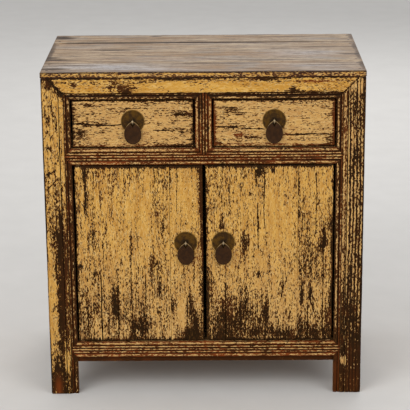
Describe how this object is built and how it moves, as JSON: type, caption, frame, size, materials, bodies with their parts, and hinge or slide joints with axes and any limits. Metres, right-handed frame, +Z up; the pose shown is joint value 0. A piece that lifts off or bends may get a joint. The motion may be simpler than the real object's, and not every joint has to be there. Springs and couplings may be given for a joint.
{
  "type": "kang cabinet",
  "caption": "Low wooden cabinet with drawers over hinged doors, beaded rails, straight legs and drop pulls on round plates, in worn yellow lacquer.",
  "frame": {"origin": "on the floor, in the middle of the whole object's width and depth (pulls included)", "axes": "+Z up, the front with doors and drawers faces -Y, +X to the right seen from the front"},
  "size_m": [0.8, 0.4814, 0.85],
  "materials": {
    "yellow_lacquered_wood": "ochre yellow paint over dark lacquer, rubbed through along the grain",
    "red_lacquered_wood": "worn dark red-brown lacquer",
    "worn_top_wood": "grey-brown weathered wood with rests of yellow paint, waxed",
    "bare_inside_wood": "unfinished aged wood",
    "pull_brass": "dark olive-brown patina, brighter on the worn edges",
    "nail_iron": "dark rusted iron"
  },
  "bodies": {
    "carcass": {"back_board_bottom": "bare_inside_wood", "back_board_middle": "bare_inside_wood", "back_board_top": "bare_inside_wood", "back_post_left": "yellow_lacquered_wood", "back_post_right": "yellow_lacquered_wood", "bottom_back_rail": "bare_inside_wood", "bottom_front_rail": "yellow_lacquered_wood", "bottom_side_rail_left": "yellow_lacquered_wood", "bottom_side_rail_right": "yellow_lacquered_wood", "cupboard_floor": "bare_inside_wood", "drawer_muntin": "yellow_lacquered_wood", "drawer_runner_left": "bare_inside_wood", "drawer_runner_middle": "bare_inside_wood", "drawer_runner_right": "bare_inside_wood", "front_post_left": "yellow_lacquered_wood", "front_post_right": "yellow_lacquered_wood", "inner_strip_left": "yellow_lacquered_wood", "inner_strip_right": "yellow_lacquered_wood", "inner_strip_top": "yellow_lacquered_wood", "lower_strip": "red_lacquered_wood", "middle_back_rail": "bare_inside_wood", "middle_front_rail": "yellow_lacquered_wood", "side_panel_left": "yellow_lacquered_wood", "side_panel_right": "yellow_lacquered_wood", "top_back_rail": "bare_inside_wood", "top_board_back": "worn_top_wood", "top_board_front": "worn_top_wood", "top_board_middle": "worn_top_wood", "top_front_rail": "yellow_lacquered_wood", "top_nails": "nail_iron", "top_side_rail_left": "yellow_lacquered_wood", "top_side_rail_right": "yellow_lacquered_wood"},
    "left_door": {"door_left_battens": "bare_inside_wood", "door_left_hinge_plank": "yellow_lacquered_wood", "door_left_meeting_plank": "yellow_lacquered_wood", "pull_door_left_pin": "pull_brass", "pull_door_left_plate": "pull_brass"},
    "right_door": {"door_right_battens": "bare_inside_wood", "door_right_hinge_plank": "yellow_lacquered_wood", "door_right_meeting_plank": "yellow_lacquered_wood", "pull_door_right_pin": "pull_brass", "pull_door_right_plate": "pull_brass"},
    "left_drawer": {"drawer_left_back": "bare_inside_wood", "drawer_left_bottom": "bare_inside_wood", "drawer_left_front": "yellow_lacquered_wood", "drawer_left_inner_side": "bare_inside_wood", "drawer_left_outer_side": "bare_inside_wood", "pull_drawer_left_pin": "pull_brass", "pull_drawer_left_plate": "pull_brass"},
    "right_drawer": {"drawer_right_back": "bare_inside_wood", "drawer_right_bottom": "bare_inside_wood", "drawer_right_front": "yellow_lacquered_wood", "drawer_right_inner_side": "bare_inside_wood", "drawer_right_outer_side": "bare_inside_wood", "pull_drawer_right_pin": "pull_brass", "pull_drawer_right_plate": "pull_brass"},
    "left_door_pull": {"pull_door_left_drop": "pull_brass"},
    "right_door_pull": {"pull_door_right_drop": "pull_brass"},
    "left_drawer_pull": {"pull_drawer_left_drop": "pull_brass"},
    "right_drawer_pull": {"pull_drawer_right_drop": "pull_brass"}
  },
  "joints": [
    {"name": "left_door_hinge", "type": "hinge", "parent": "carcass", "child": "left_door", "pos_m": [-0.3148, -0.21825, 0.37775], "axis": [0, 0, -1], "range_deg": [0, 100]},
    {"name": "right_door_hinge", "type": "hinge", "parent": "carcass", "child": "right_door", "pos_m": [0.3148, -0.21825, 0.37775], "axis": [0, 0, 1], "range_deg": [0, 100]},
    {"name": "left_drawer_slide", "type": "slide", "parent": "carcass", "child": "left_drawer", "axis": [0, -1, 0], "range_m": [0, 0.3]},
    {"name": "right_drawer_slide", "type": "slide", "parent": "carcass", "child": "right_drawer", "axis": [0, -1, 0], "range_m": [0, 0.3]},
    {"name": "left_door_pull_swing", "type": "hinge", "parent": "left_door", "child": "left_door_pull", "pos_m": [-0.0475, -0.23485, 0.40875], "axis": [-1, 0, 0], "range_deg": [0, 150]},
    {"name": "right_door_pull_swing", "type": "hinge", "parent": "right_door", "child": "right_door_pull", "pos_m": [0.0475, -0.23485, 0.40875], "axis": [-1, 0, 0], "range_deg": [0, 150]},
    {"name": "left_drawer_pull_swing", "type": "hinge", "parent": "left_drawer", "child": "left_drawer_pull", "pos_m": [-0.17485, -0.23485, 0.7244], "axis": [-1, 0, 0], "range_deg": [0, 150]},
    {"name": "right_drawer_pull_swing", "type": "hinge", "parent": "right_drawer", "child": "right_drawer_pull", "pos_m": [0.17485, -0.23485, 0.7244], "axis": [-1, 0, 0], "range_deg": [0, 150]}
  ]
}
